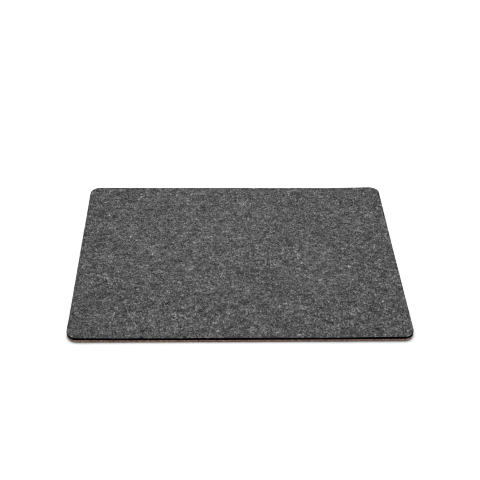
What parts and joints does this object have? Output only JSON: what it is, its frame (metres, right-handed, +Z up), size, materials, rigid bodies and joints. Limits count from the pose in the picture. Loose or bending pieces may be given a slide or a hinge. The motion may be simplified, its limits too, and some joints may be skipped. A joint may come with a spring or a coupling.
{
  "type": "desk mat",
  "caption": "Rectangular desk mat with rounded corners: a charcoal melange felt sheet bonded by an adhesive film to a cork base.",
  "frame": {"origin": "centre of the cork underside, on the desk surface", "axes": "+X along the long side, +Y towards the far long edge, +Z up out of the felt face"},
  "size_m": [0.4, 0.3, 0.0062],
  "materials": {
    "felt": "dense melange felt, matt and slightly hairy, with a black seared cut edge",
    "adhesive": "thin hot-melt film, dull",
    "cork": "agglomerated cork, matt, darkened on the cut edge"
  },
  "bodies": {
    "root": {"felt_top": "felt", "adhesive_film": "adhesive", "cork_base": "cork"}
  },
  "joints": []
}
